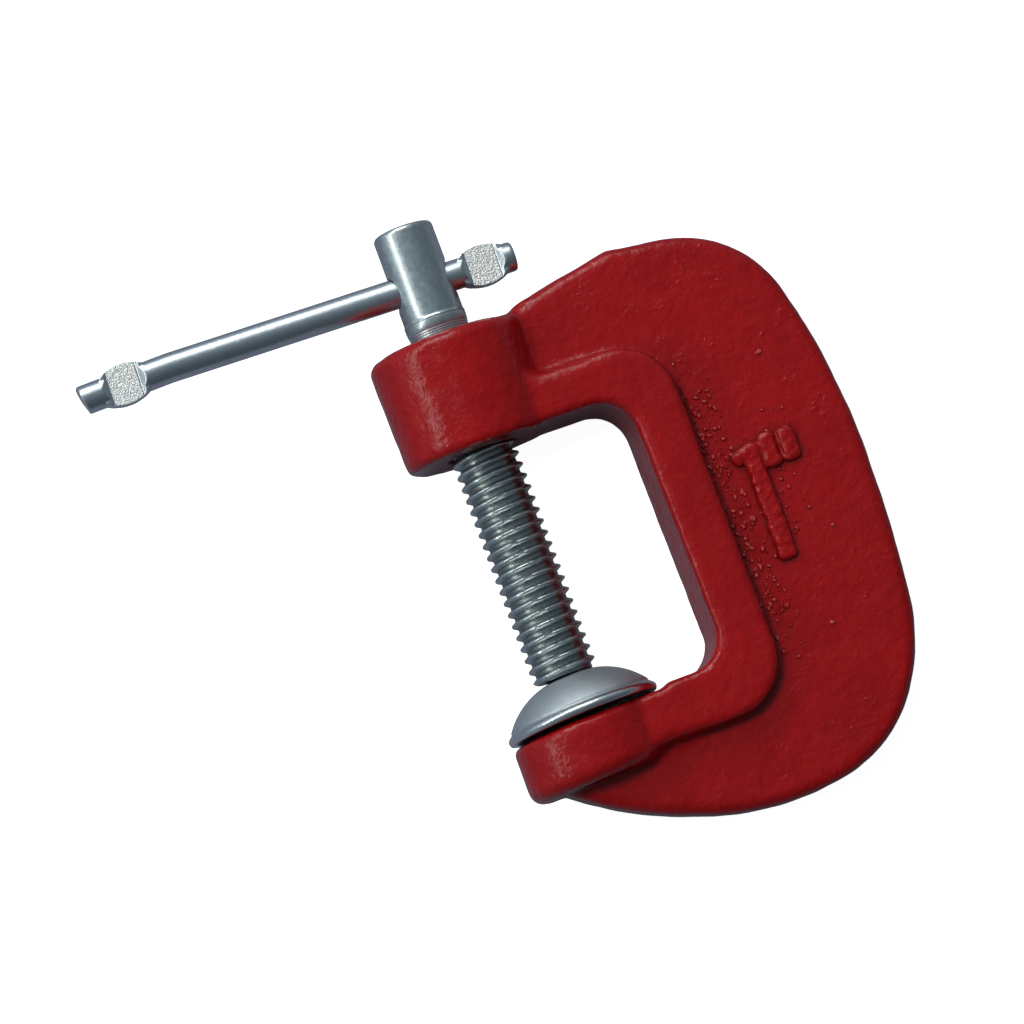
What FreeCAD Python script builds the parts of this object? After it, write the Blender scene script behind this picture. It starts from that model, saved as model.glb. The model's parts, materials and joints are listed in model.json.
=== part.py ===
import FreeCAD, Part
import math
import os
from collections import namedtuple
from types import SimpleNamespace

import Sketcher
from FreeCAD import Placement, Rotation, Vector

# A small C clamp, in millimetres. It is drawn in the frame's own mid-plane: X runs from the
# screw's axis to the back of the frame, Y runs up the screw from the anvil face, and Z is the
# normal of the mid-plane. The finished clamp lies on its side on a bench, on the round of its
# boss and on the lower rim of its flange, so every piece is turned about the screw's axis by
# the one angle at which both of them touch.
SIZES = {
    # the flange: the deep inner rib that runs round the throat
    "throat_height": 33.25,
    "throat_depth": 17.0,
    "throat_flare": 0.4,
    "throat_corner_radius": 4.2,
    "floor_rise": 0.5,
    "flange_depth": 13.0,
    "flange_back_width": 6.2,
    "flange_top_width": 5.75,
    "flange_foot_width": 6.3,
    "flange_corner_radius": 7.0,
    "flange_edge_radius": 1.1,
    # boss and anvil
    "boss_radius": 9.5,
    "boss_taper": 0.35,
    "boss_height": 13.75,
    "boss_proud": 0.25,
    "boss_edge_radius": 1.6,
    "boss_foot_edge_radius": 1.1,
    "anvil_radius": 8.8,
    "anvil_height": 7.4,
    "anvil_face_edge_radius": 1.1,
    "anvil_foot_edge_radius": 1.9,
    # the web: the thin plate outside the flange, with reaches from the throat's back and
    # rises from the throat's top
    "web_thickness": 6.0,
    "web_edge_radius": 1.6,
    "web_lap": 2.5,
    "web_start": 6.0,
    "web_step_rise": 1.2,
    "crest_reach": 4.44,
    "crest_rise": 17.36,
    "shoulder_reach": 11.0,
    "shoulder_rise": 16.47,
    "flank_reach": 22.76,
    "flank_rise": 5.98,
    "back_reach": 25.25,
    "back_height": 17.38,
    "hip_reach": 24.04,
    "hip_height": 0.58,
    "haunch_reach": 19.41,
    "haunch_drop": 10.66,
    "sole_reach": 9.74,
    "sole_drop": 16.65,
    "keel_inset": 4.83,
    "keel_drop": 16.22,
    "web_toe": 4.6,
    "web_toe_drop": 0.2,
    # raised size numeral on the web
    "mark_inset": 4.6,
    "mark_height": 9.3,
    "numeral_height": 13.9,
    "numeral_width": 2.1,
    "numeral_flag": 1.4,
    "tick_height": 3.8,
    "tick_width": 1.75,
    "tick_gap": 0.5,
    "mark_relief": 0.75,
    # screw, whose heights are counted from the boss's top with the clamp closed
    "thread_radius": 3.97,
    "thread_pitch": 1.411,
    "thread_clearance": 0.12,
    "thread_chamfer": 0.5,
    "thread_above_boss": 0.8,
    "collar_radius": 3.78,
    "collar_above_boss": 2.6,
    "head_radius": 3.62,
    "head_above_boss": 13.9,
    "head_edge_radius": 0.6,
    "neck_radius": 2.2,
    "rivet_radius": 2.95,
    "rivet_height": 0.9,
    # tommy bar
    "bar_radius": 1.78,
    "bar_above_boss": 6.9,
    "bar_clearance": 0.2,
    "bar_left": 42.1,
    "bar_right": 11.4,
    "bar_end_radius": 0.4,
    "left_swell_place": 36.5,
    "right_swell_place": 7.5,
    "swell_length": 5.4,
    "swell_width": 4.7,
    "swell_thickness": 2.7,
    "flat_length": 3.6,
    "flat_ramp": 0.9,
    # swivel pad
    "pad_radius": 9.0,
    "pad_rim_height": 0.9,
    "pad_height": 5.15,
    "pad_shoulder_radius": 6.8,
    "pad_shoulder_height": 3.35,
    "pad_wall": 1.2,
    "pad_gap": 0.1,
    "pad_play": 0.12,
    "pad_room": 0.3,
}

CUT_OVER = 1.0  # how far a cutting shape runs past the faces that it cuts
THREAD_ANGLE = 60.0
FLAT_SHARE = 0.125  # crest and root flats of the thread, as a share of its pitch
BAR_LEAN = 1.0  # degrees by which the bar hangs askew in its oversize hole


class Length:
    """A length in millimetres together with the sheet formula that gives it."""

    def __init__(self, mm, formula):
        self.mm = mm
        self.formula = formula

    def __add__(self, other):
        return Length(self.mm + other.mm, f"{self.formula} + {other.formula}")

    def __sub__(self, other):
        return Length(self.mm - other.mm, f"{self.formula} - ({other.formula})")

    def __mul__(self, factor):
        return Length(self.mm * factor, f"({self.formula}) * {factor}")

    def __neg__(self):
        return ZERO - self


ZERO = Length(0.0, "0")
OVER = Length(CUT_OVER, str(CUT_OVER))
size = SimpleNamespace(**{name: Length(mm, "Sizes." + name) for name, mm in SIZES.items()})

# A corner of an outline. From it the outline runs straight to the next one, or along an arc
# through the point "via", or, where "smooth" is set, along the arc that carries on from the
# run before without a kink. A "radius" rounds the corner between two straight runs.
Corner = namedtuple("Corner", "x y radius via smooth", defaults=(None, None, False))


def make_sheet(doc):
    sheet = doc.addObject("Spreadsheet::Sheet", "Sizes")
    for row, (name, mm) in enumerate(SIZES.items(), start=1):
        sheet.set(f"A{row}", name)
        sheet.set(f"B{row}", str(mm))
        sheet.setAlias(f"B{row}", name)
    doc.recompute()


def lie_angle():
    """Degrees about the screw's axis at which the boss and a lower rim both touch the bench."""

    def angle(reach, depth, edge):
        across = reach - edge
        down = depth / 2 - edge
        drop = math.asin((size.boss_radius.mm - edge) / math.hypot(across, down))
        return math.degrees(drop - math.atan2(down, across))

    flange_reach = size.throat_depth + size.throat_flare + size.flange_back_width
    web_reach = size.throat_depth + size.back_reach
    return min(
        angle(flange_reach.mm, size.flange_depth.mm, size.flange_edge_radius.mm),
        angle(web_reach.mm, size.web_thickness.mm, size.web_edge_radius.mm),
    )


def start_body(doc, label, height=ZERO, lean=0.0):
    body = doc.addObject("PartDesign::Body", label)
    body.Label = label
    tilt = Rotation(Vector(0, 1, 0), lie_angle())
    hang = Rotation(Vector(0, 0, 1), -lean)
    body.Placement = Placement(Vector(0, height.mm, 0), tilt * hang)
    return body


def origin_part(body, role):
    return next(item for item in body.Origin.OriginFeatures if item.Role == role)


def rounded(before, corner, after, radius):
    """A round's first tangent point, the middle of its arc and its second tangent point."""
    back = (before - corner).normalize()
    ahead = (after - corner).normalize()
    half = back.getAngle(ahead) / 2
    tangent = radius / math.tan(half)
    inward = (back + ahead).normalize()
    return (
        corner + back * tangent,
        corner + inward * (radius / math.sin(half) - radius),
        corner + ahead * tangent,
    )


def arc_middle(start, heading, stop):
    """The middle of the arc that leaves start along heading and ends at stop."""
    chord = stop - start
    bend = math.atan2(heading.cross(chord).z, heading.dot(chord))
    side = Vector(-chord.y, chord.x, 0)
    return start + chord * 0.5 - side * (0.5 * math.tan(bend / 2))


def end_heading(curve, start):
    """The direction in which a curve that leaves from start arrives at its other end."""
    forward = curve.StartPoint.distanceToPoint(start) < 1e-6
    place = curve.LastParameter if forward else curve.FirstParameter
    heading = Vector(*curve.tangent(place)[0])
    return heading if forward else -heading


class Outline:
    """A sketch whose corners, rounds and arcs are tied to the named sizes."""

    def __init__(self, body, name, plane):
        self.sketch = body.newObject("Sketcher::SketchObject", name)
        self.sketch.AttachmentSupport = [(origin_part(body, plane), "")]
        self.sketch.MapMode = "FlatFace"

    def constrain(self, kind, *where):
        return self.sketch.addConstraint(Sketcher.Constraint(kind, *where))

    def tie(self, kind, *where, length):
        index = self.constrain(kind, *where, length.mm)
        self.sketch.setExpression(f"Constraints[{index}]", length.formula)

    def place(self, geometry, end, x, y):
        self.tie("DistanceX", -1, 1, geometry, end, length=x)
        self.tie("DistanceY", -1, 1, geometry, end, length=y)

    def add(self, curve, start):
        """Add a curve and return its index with the numbers of its start and end points."""
        index = self.sketch.addGeometry(curve, False)
        first = self.sketch.getPoint(index, 1)
        forward = first.distanceToPoint(start) < 1e-6
        return (index, 1, 2) if forward else (index, 2, 1)

    def add_point(self, x, y):
        index = self.sketch.addGeometry(Part.Point(Vector(x.mm, y.mm, 0)), True)
        self.place(index, 1, x, y)
        return index

    def join(self, kind, before, after):
        self.constrain(kind, before[0], before[2], after[0], after[1])

    def draw(self, corners):
        """Close a loop through the corners, with a line or an arc from each to the next."""
        points = [Vector(corner.x.mm, corner.y.mm, 0) for corner in corners]
        followers = points[1:] + points[:1]
        rounds = []
        for number, corner in enumerate(corners):
            ends = (points[number - 1], points[number], followers[number])
            rounds.append(rounded(*ends, corner.radius.mm) if corner.radius else None)
        starts = [arc[2] if arc else point for arc, point in zip(rounds, points)]
        stops = [arc[0] if arc else point for arc, point in zip(rounds, points)]
        stops = stops[1:] + stops[:1]
        runs = []
        heading = None
        for corner, start, stop in zip(corners, starts, stops):
            curve = self.curve(corner, start, stop, heading)
            heading = end_heading(curve, start)
            runs.append(self.add(curve, start))
        for number, corner in enumerate(corners):
            before = runs[number - 1]
            after = runs[number]
            if corner.via:
                self.constrain("PointOnObject", self.add_point(*corner.via), 1, after[0])
            if corner.radius:
                self.round_corner(corner, rounds[number], before, after)
            else:
                self.join("Tangent" if corner.smooth else "Coincident", before, after)
                self.place(after[0], after[1], corner.x, corner.y)

    def curve(self, corner, start, stop, heading):
        if corner.smooth:
            middle = arc_middle(start, heading, stop)
        elif corner.via:
            middle = Vector(corner.via[0].mm, corner.via[1].mm, 0)
        else:
            return Part.LineSegment(start, stop)
        return Part.Arc(start, middle, stop)

    def round_corner(self, corner, arc, before, after):
        bend = self.add(Part.Arc(*arc), arc[0])
        self.join("Tangent", before, bend)
        self.join("Tangent", bend, after)
        self.tie("Radius", bend[0], length=corner.radius)
        tip = self.add_point(corner.x, corner.y)
        for run in (before, after):
            self.constrain("PointOnObject", tip, 1, run[0])


def draw(body, name, *loops, plane="XY_Plane"):
    outline = Outline(body, name, plane)
    for corners in loops:
        outline.draw(corners)
    return outline.sketch


def pad(body, name, sketch, length, midplane=True):
    feature = body.newObject("PartDesign::Pad", name)
    feature.Profile = sketch
    feature.setExpression("Length", length.formula)
    feature.Midplane = midplane
    body.Document.recompute()
    return feature


def cut_through(body, name, sketch):
    feature = body.newObject("PartDesign::Pocket", name)
    feature.Profile = sketch
    feature.Type = "ThroughAll"
    feature.Midplane = True
    body.Document.recompute()
    return feature


def turn(body, name, sketch, kind="PartDesign::Revolution", axis="Y_Axis"):
    feature = body.newObject(kind, name)
    feature.Profile = sketch
    feature.ReferenceAxis = (origin_part(body, axis), [""])
    feature.Angle = 360
    body.Document.recompute()
    return feature


def fillet(body, name, base, wanted, radius):
    """Round the edges of the base feature that the test picks."""
    edges = [f"Edge{i}" for i, edge in enumerate(base.Shape.Edges, start=1) if wanted(edge)]
    feature = body.newObject("PartDesign::Fillet", name)
    feature.Base = (base, edges)
    feature.setExpression("Radius", radius.formula)
    body.Document.recompute()
    return feature


def cut_thread(body, name, section, height):
    feature = body.newObject("PartDesign::SubtractiveHelix", name)
    feature.Profile = draw(body, name + "_section", section)
    feature.ReferenceAxis = (origin_part(body, "Y_Axis"), [""])
    feature.Mode = "pitch-height-angle"
    feature.setExpression("Pitch", size.thread_pitch.formula)
    feature.setExpression("Height", height.formula)
    body.Document.recompute()
    return feature


def box_corners(left, foot, right, top):
    return [Corner(left, foot), Corner(right, foot), Corner(right, top), Corner(left, top)]


# Places that more than one piece is set by.
BOSS_FOOT = size.throat_height - size.boss_proud
BOSS_TOP = size.throat_height + size.boss_height
FLANGE_BACK = size.throat_depth + size.flange_back_width
THREAD_FOOT = size.pad_height + size.pad_play
FLAT = size.thread_pitch * FLAT_SHARE
FLANK_SLOPE = math.tan(math.radians(THREAD_ANGLE / 2))
THREAD_DEPTH = (size.thread_pitch * 0.5 - FLAT) * (1 / FLANK_SLOPE)
ROOT_RADIUS = size.thread_radius - THREAD_DEPTH
THREAD_START = THREAD_FOOT - size.thread_pitch * 0.75
THREAD_TOP = BOSS_TOP + size.thread_above_boss
COLLAR_TOP = BOSS_TOP + size.collar_above_boss
HEAD_TOP = BOSS_TOP + size.head_above_boss
BAR_HEIGHT = BOSS_TOP + size.bar_above_boss


def build_frame(doc):
    """The one-piece casting: flange, web, boss and anvil, with its size numeral and tapped hole."""
    body = start_body(doc, "frame")
    add_flange(body)
    add_web(body)
    add_boss(body)
    add_anvil(body)
    add_mark(body)
    cut_screw_hole(body)
    return body


def at_height(height):
    """A test for edges that lie wholly at this distance above or below the mid-plane."""

    def test(edge):
        box = edge.BoundBox
        return box.ZLength < 1e-4 and abs(abs(box.ZMin) - height) < 1e-4

    return test


def add_flange(body):
    """The deep inner rib of the C: top arm, back and foot, from the boss to the anvil."""
    under = size.throat_height
    top = under + size.flange_top_width
    foot = -size.flange_foot_width
    inner = size.throat_corner_radius
    outer = size.flange_corner_radius
    anvil_end = size.pad_radius + size.pad_room
    floor = size.floor_rise
    corners = [
        Corner(ZERO, top),
        Corner(ZERO, under),
        Corner(size.throat_depth, under, inner),
        Corner(size.throat_depth + size.throat_flare, floor, inner),
        Corner(anvil_end + floor * 2, floor),
        Corner(anvil_end, ZERO),
        Corner(ZERO, ZERO),
        Corner(ZERO, foot),
        Corner(FLANGE_BACK + size.throat_flare, foot, outer),
        Corner(FLANGE_BACK, top, outer),
    ]
    flange = pad(body, "flange", draw(body, "flange_outline", corners), size.flange_depth)
    rim = at_height(size.flange_depth.mm / 2)

    def open_rim(edge):
        return rim(edge) and edge.BoundBox.XMax > 1e-3

    fillet(body, "flange_edges", flange, open_rim, size.flange_edge_radius)


def add_web(body):
    """The thin outer plate of the C, from the boss round the back to the anvil."""
    depth = size.throat_depth
    rise = size.throat_height
    inner = depth + size.web_lap
    lap = rise + size.web_lap
    corners = [
        Corner(size.web_start, lap),
        Corner(size.web_start, BOSS_TOP - size.boss_edge_radius),
        Corner(size.boss_radius, BOSS_TOP + size.web_step_rise),
        Corner(depth + size.crest_reach, rise + size.crest_rise),
        Corner(depth + size.shoulder_reach, rise + size.shoulder_rise, smooth=True),
        Corner(depth + size.flank_reach, rise + size.flank_rise, smooth=True),
        Corner(depth + size.back_reach, size.back_height, smooth=True),
        Corner(depth + size.hip_reach, size.hip_height, smooth=True),
        Corner(depth + size.haunch_reach, -size.haunch_drop, smooth=True),
        Corner(depth + size.sole_reach, -size.sole_drop, smooth=True),
        Corner(depth - size.keel_inset, -size.keel_drop, smooth=True),
        Corner(-size.web_toe, -(size.anvil_height + size.web_toe_drop)),
        Corner(-size.web_toe, -size.web_lap),
        Corner(inner, -size.web_lap),
        Corner(inner, lap),
    ]
    web = pad(body, "web", draw(body, "web_outline", corners), size.web_thickness)
    rim = at_height(size.web_thickness.mm / 2)
    beyond = (FLANGE_BACK + size.throat_flare).mm
    over = BOSS_TOP.mm
    under = -size.anvil_height.mm

    def outer_rim(edge):
        box = edge.BoundBox
        outside = box.XMax > beyond + 1 or box.YMax > over or box.YMax < under
        return rim(edge) and outside

    fillet(body, "web_edges", web, outer_rim, size.web_edge_radius)


def add_boss(body):
    """The tapped boss at the end of the top arm, a little wider at its top."""
    edge = size.boss_edge_radius
    corners = [
        Corner(ZERO, BOSS_FOOT),
        Corner(size.boss_radius - size.boss_taper, BOSS_FOOT, size.boss_foot_edge_radius),
        Corner(size.boss_radius, BOSS_TOP, edge),
        Corner(ZERO, BOSS_TOP),
    ]
    turn(body, "boss", draw(body, "boss_outline", corners))


def add_anvil(body):
    """The round anvil at the end of the foot, whose flat face the work is pressed against."""
    foot = -size.anvil_height
    corners = [
        Corner(ZERO, ZERO),
        Corner(size.anvil_radius, ZERO, size.anvil_face_edge_radius),
        Corner(size.anvil_radius, foot, size.anvil_foot_edge_radius),
        Corner(ZERO, foot),
    ]
    turn(body, "anvil", draw(body, "anvil_outline", corners))


def add_mark(body):
    """The raised size numeral cast on the front of the web: a one with two inch ticks."""
    left = FLANGE_BACK + size.mark_inset
    foot = size.mark_height
    right = left + size.numeral_width
    top = foot + size.numeral_height
    flag = size.numeral_flag
    numeral = [
        Corner(left, foot),
        Corner(right, foot),
        Corner(right, top),
        Corner(left, top),
        Corner(left - flag, top - flag * 0.4),
        Corner(left - flag, top - flag * 1.2),
        Corner(left, top - flag * 1.6),
    ]
    loops = [numeral]
    place = right + size.tick_gap
    for _ in range(2):
        end = place + size.tick_width
        loops.append(box_corners(place, top - size.tick_height, end, top))
        place = end + size.tick_gap
    sketch = draw(body, "mark_outline", *loops)
    pad(body, "mark", sketch, size.web_thickness * 0.5 + size.mark_relief, midplane=False)


def cut_screw_hole(body):
    """The boss's tapped hole: a bore countersunk at both ends, and the thread cut into it.

    The nut's thread is the screw's own form moved outwards by the clearance, on a helix half a
    pitch above the screw's groove, so the two are in mesh with the clamp closed.
    """
    bore = ROOT_RADIUS + size.thread_clearance
    mouth = size.thread_radius + size.thread_clearance
    corners = [
        Corner(ZERO, BOSS_FOOT - OVER),
        Corner(mouth, BOSS_FOOT - OVER),
        Corner(mouth, BOSS_FOOT),
        Corner(bore, BOSS_FOOT + THREAD_DEPTH),
        Corner(bore, BOSS_TOP - THREAD_DEPTH),
        Corner(mouth, BOSS_TOP),
        Corner(mouth, BOSS_TOP + OVER),
        Corner(ZERO, BOSS_TOP + OVER),
    ]
    turn(body, "bore", draw(body, "bore_outline", corners), kind="PartDesign::Groove")
    middle = THREAD_START + size.thread_pitch * 0.5
    inside = bore - THREAD_DEPTH * 0.5
    tip = FLAT * 0.5
    wide = tip + (mouth - inside) * FLANK_SLOPE
    section = [
        Corner(inside, middle - wide),
        Corner(mouth, middle - tip),
        Corner(mouth, middle + tip),
        Corner(inside, middle + wide),
    ]
    cut_thread(body, "nut_thread", section, BOSS_TOP - THREAD_START + size.thread_pitch)


def build_screw(doc):
    """The spindle: cross-drilled head, collar, rolled thread, and a riveted neck for the pad."""
    body = start_body(doc, "screw")
    thread = size.thread_radius
    head = size.head_radius
    collar = size.collar_radius
    rivet_top = size.pad_height - size.pad_wall - size.pad_play
    rivet_foot = rivet_top - size.rivet_height
    corners = [
        Corner(ZERO, rivet_foot),
        Corner(size.rivet_radius, rivet_foot, size.rivet_height * 0.5),
        Corner(size.rivet_radius, rivet_top),
        Corner(size.neck_radius, rivet_top),
        Corner(size.neck_radius, THREAD_FOOT),
        Corner(thread - size.thread_chamfer, THREAD_FOOT),
        Corner(thread, THREAD_FOOT + size.thread_chamfer),
        Corner(thread, THREAD_TOP),
        Corner(collar, THREAD_TOP + thread - collar),
        Corner(collar, COLLAR_TOP),
        Corner(head, COLLAR_TOP + collar - head),
        Corner(head, HEAD_TOP, size.head_edge_radius),
        Corner(ZERO, HEAD_TOP),
    ]
    turn(body, "spindle", draw(body, "spindle_outline", corners))
    root = FLAT * 0.5
    outside = thread + FLAT * 0.25
    wide = root + (outside - ROOT_RADIUS) * FLANK_SLOPE
    section = [
        Corner(ROOT_RADIUS, THREAD_START - root),
        Corner(outside, THREAD_START - wide),
        Corner(outside, THREAD_START + wide),
        Corner(ROOT_RADIUS, THREAD_START + root),
    ]
    cut_thread(body, "thread", section, THREAD_TOP - THREAD_START)
    outline = Outline(body, "cross_hole_outline", "YZ_Plane")
    centre = Vector(BAR_HEIGHT.mm, 0, 0)
    radius = size.bar_radius + size.bar_clearance
    circle = outline.sketch.addGeometry(Part.Circle(centre, Vector(0, 0, 1), radius.mm), False)
    outline.place(circle, 3, BAR_HEIGHT, ZERO)
    outline.tie("Radius", circle, length=radius)
    cut_through(body, "cross_hole", outline.sketch)
    return body


def build_tommy_bar(doc):
    """The sliding handle: a rod squeezed near each end so that it can't leave the head."""
    body = start_body(doc, "tommy_bar", BAR_HEIGHT, BAR_LEAN)
    left = -size.bar_left
    right = size.bar_right
    radius = size.bar_radius
    corners = [
        Corner(left, ZERO),
        Corner(right, ZERO),
        Corner(right, radius, size.bar_end_radius),
        Corner(left, radius, size.bar_end_radius),
    ]
    turn(body, "rod", draw(body, "rod_outline", corners), axis="X_Axis")
    half = size.swell_length * 0.5
    side = size.swell_width * 0.5
    flat = size.flat_length * 0.5
    lens = []
    squeezes = []
    for centre in (-size.left_swell_place, size.right_swell_place):
        start = centre - half
        end = centre + half
        edge = radius * 0.9
        lens.append([
            Corner(start, edge, via=(centre, side)),
            Corner(end, edge),
            Corner(end, -edge, via=(centre, -side)),
            Corner(start, -edge),
        ])
        for face in (1, -1):
            squeezes.append([
                Corner(centre - flat, size.swell_thickness * (0.5 * face)),
                Corner(centre + flat, size.swell_thickness * (0.5 * face)),
                Corner(centre + flat + size.flat_ramp, radius * face),
                Corner(centre + flat + size.flat_ramp, (radius + OVER) * face),
                Corner(centre - flat - size.flat_ramp, (radius + OVER) * face),
                Corner(centre - flat - size.flat_ramp, radius * face),
            ])
    pad(body, "swells", draw(body, "swell_outline", *lens), size.swell_thickness)
    cut_through(body, "flats", draw(body, "flat_outline", *squeezes, plane="XZ_Plane"))
    return body


def build_swivel_pad(doc):
    """The pressed cup that turns on the end of the screw and bears on the work with its rim."""
    body = start_body(doc, "swivel_pad")
    outer = size.pad_radius
    inner = outer - size.pad_wall
    hole = size.neck_radius + size.pad_play
    shoulder = size.pad_shoulder_radius
    shoulder_height = size.pad_shoulder_height
    roof = size.pad_height - size.pad_wall
    rivet_room = size.rivet_radius + size.pad_play * 2
    corners = [
        Corner(inner, size.pad_gap),
        Corner(outer, size.pad_gap),
        Corner(outer, size.pad_rim_height, via=(shoulder, shoulder_height)),
        Corner(hole, size.pad_height),
        Corner(hole, roof),
        Corner(
            rivet_room,
            roof,
            via=(shoulder - size.pad_wall * 0.6, shoulder_height - size.pad_wall * 0.8),
        ),
        Corner(inner, size.pad_rim_height),
    ]
    turn(body, "cup", draw(body, "cup_outline", corners))
    return body


def check(doc, bodies):
    for item in doc.Objects:
        faults = {"Invalid", "Error"} & set(item.State)
        if faults:
            raise RuntimeError(f"{item.Label} is {sorted(faults)}")
    for body in bodies:
        if body.Shape.isNull() or not body.Shape.isValid() or len(body.Shape.Solids) != 1:
            raise RuntimeError(f"{body.Label} is not one valid solid")


doc = FreeCAD.newDocument("c_clamp")
make_sheet(doc)
bodies = [build_frame(doc), build_screw(doc), build_tommy_bar(doc), build_swivel_pad(doc)]
doc.recompute()
check(doc, bodies)
os.makedirs("parts", exist_ok=True)
for body in bodies:
    body.Shape.exportStep(f"parts/{body.Label}.step")
    print(body.Label, round(body.Shape.Volume, 2), "mm3")
print("lies at", round(lie_angle(), 3), "degrees")
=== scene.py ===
import json
import math

import bpy
from mathutils import Matrix, Vector, noise


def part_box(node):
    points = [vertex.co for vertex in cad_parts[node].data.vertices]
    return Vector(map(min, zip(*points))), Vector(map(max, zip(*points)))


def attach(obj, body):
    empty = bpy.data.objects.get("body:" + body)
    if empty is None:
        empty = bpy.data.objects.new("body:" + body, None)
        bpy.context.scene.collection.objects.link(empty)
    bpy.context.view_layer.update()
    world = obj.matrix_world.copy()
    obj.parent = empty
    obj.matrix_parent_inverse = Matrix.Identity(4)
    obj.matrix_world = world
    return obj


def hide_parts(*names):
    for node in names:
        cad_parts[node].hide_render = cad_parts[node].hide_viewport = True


# A small C clamp, lying on its side on a pale bench with its screw closed on the anvil. All
# lengths are in metres: +Y runs up the screw from the anvil face, and +Z is up from the bench.
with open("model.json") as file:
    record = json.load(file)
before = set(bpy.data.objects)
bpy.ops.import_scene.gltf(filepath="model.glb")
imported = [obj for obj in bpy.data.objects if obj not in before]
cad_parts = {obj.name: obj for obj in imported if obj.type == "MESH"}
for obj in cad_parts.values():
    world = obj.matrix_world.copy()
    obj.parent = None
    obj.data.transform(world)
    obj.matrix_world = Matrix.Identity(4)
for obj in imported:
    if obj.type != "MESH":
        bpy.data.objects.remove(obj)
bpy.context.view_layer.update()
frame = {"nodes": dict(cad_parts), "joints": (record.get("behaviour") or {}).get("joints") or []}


# ---------------------------------------------------------------------------------------------
# The casting: one sand casting in iron with a deep inner flange, a thin outer web, the tapped
# boss and the anvil. It is dipped in thick red enamel, which rounds every edge, fills the
# valleys and shows the pits and lumps of the sand mould under its gloss.
# ---------------------------------------------------------------------------------------------
MM = 0.001
WELD = 0.002 * MM
ROUND_SIDES = 96
SMOOTH_SHARE = 0.5
CASTING_VOXEL = 0.31 * MM
CASTING_TURNS = 6
HOLLOW_TURNS = 60
LUMP_SIZE = 3.5 * MM
LUMP_DETAIL = 2
LUMP_DEPTH = 0.2 * MM
LUMP_LEVEL = 1.0

# Places on the casting, in millimetres in its mid-plane: X out from the screw, Y up it.
BORE_RADIUS = 4.05
BORE_FOOT, BORE_TOP = 25, 55
WEB_FACE = 3.0
NUMERAL_LEFT, NUMERAL_RIGHT = 25.5, 37
NUMERAL_FOOT, NUMERAL_TOP = 7, 27
NOTCH_PLACE, NOTCH_SPREAD = 8.1, 1.7
NOTCH_FOOT, NOTCH_BLEND = 44.5, 1.5
NOTCH_FILL = 0.3
ANVIL_SLOPE = math.radians(2)
ANVIL_END = 8.0
ANVIL_BELOW = 1

# The middle and the spread of each hollow, across the casting and up it.
BOSS_VALLEY_ACROSS, BOSS_VALLEY_UP = (10.5, 5.5), (43, 16)
BOSS_VALLEY_FOOT = 34.5
ANVIL_VALLEY_ACROSS, ANVIL_VALLEY_UP = (9.5, 4.5), (-6.0, 5.0)
ARM_EDGE_ACROSS, ARM_EDGE_UP = (12, 7), (38.2, 1.8)

# The clamp leans about the screw's axis. Its mid-plane is found from the tommy bar's line.
joints = {joint["name"]: joint for joint in frame["joints"]}
bar_line = Vector(joints["bar_slide"]["axis"])
LEAN = math.atan2(-bar_line.z, bar_line.x)
TO_MID_PLANE = Matrix.Rotation(-LEAN, 4, "Y")


def deselect_all():
    bpy.ops.object.select_all(action="DESELECT")


def select_only(piece):
    deselect_all()
    piece.select_set(True)
    bpy.context.view_layer.objects.active = piece


def copy_of_node(node, name):
    """A merged copy of a CAD node's mesh, as a new piece to work on."""
    piece = bpy.data.objects.new(name, frame["nodes"][node].data.copy())
    bpy.context.scene.collection.objects.link(piece)
    select_only(piece)
    bpy.ops.object.mode_set(mode="EDIT")
    bpy.ops.mesh.select_all(action="SELECT")
    bpy.ops.mesh.remove_doubles(threshold=WELD)
    bpy.ops.object.mode_set(mode="OBJECT")
    return piece


def apply_modifier(piece, kind, **values):
    select_only(piece)
    modifier = piece.modifiers.new(kind.lower(), kind)
    for name, value in values.items():
        setattr(modifier, name, value)
    bpy.ops.object.modifier_apply(modifier=modifier.name)


def remesh(piece, voxel):
    apply_modifier(piece, "REMESH", mode="VOXEL", voxel_size=voxel)


def smooth(piece, turns, **values):
    apply_modifier(piece, "SMOOTH", factor=SMOOTH_SHARE, iterations=turns, **values)


def roughen(piece, texture, depth, level, **values):
    """Moves the surface by a texture; where the texture has this level it stays in place."""
    apply_modifier(
        piece, "DISPLACE", texture=texture, texture_coords="LOCAL", strength=depth,
        mid_level=level, **values,
    )


def shade_smooth(piece):
    select_only(piece)
    bpy.ops.object.shade_smooth()


def store(piece, name, values):
    """Keeps one value per vertex, which a material reads by this name."""
    piece.data.attributes.new(name, "FLOAT", "POINT").data.foreach_set("value", values)


def clamp(value):
    return min(1.0, max(0.0, value))


def weigh(piece, name, rule):
    """A vertex group whose weights come from each vertex's place, given in the mid-plane."""
    group = piece.vertex_groups.new(name=name)
    for vertex in piece.data.vertices:
        group.add([vertex.index], clamp(rule(TO_MID_PLANE @ vertex.co / MM)), "REPLACE")
    return name


def near(value, middle, spread):
    """One at the middle, falling smoothly to nothing over the spread on either side."""
    share = min(1.0, abs(value - middle) / spread)
    return 1 - share * share * (3 - 2 * share)


def boss_valley(place):
    """The wide hollow where the top arm and the web run into the round boss."""
    above = place.y > BOSS_VALLEY_FOOT
    return near(place.x, *BOSS_VALLEY_ACROSS) * above * near(place.y, *BOSS_VALLEY_UP)


def anvil_valley(place):
    """The hollow where the foot runs into the round anvil, away from its flat face."""
    return near(place.x, *ANVIL_VALLEY_ACROSS) * near(place.y, *ANVIL_VALLEY_UP)


def arm_edge(place):
    """The top arm's upper edge, which is worn round beside the boss."""
    return near(place.x, *ARM_EDGE_ACROSS) * near(place.y, *ARM_EDGE_UP)


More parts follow.
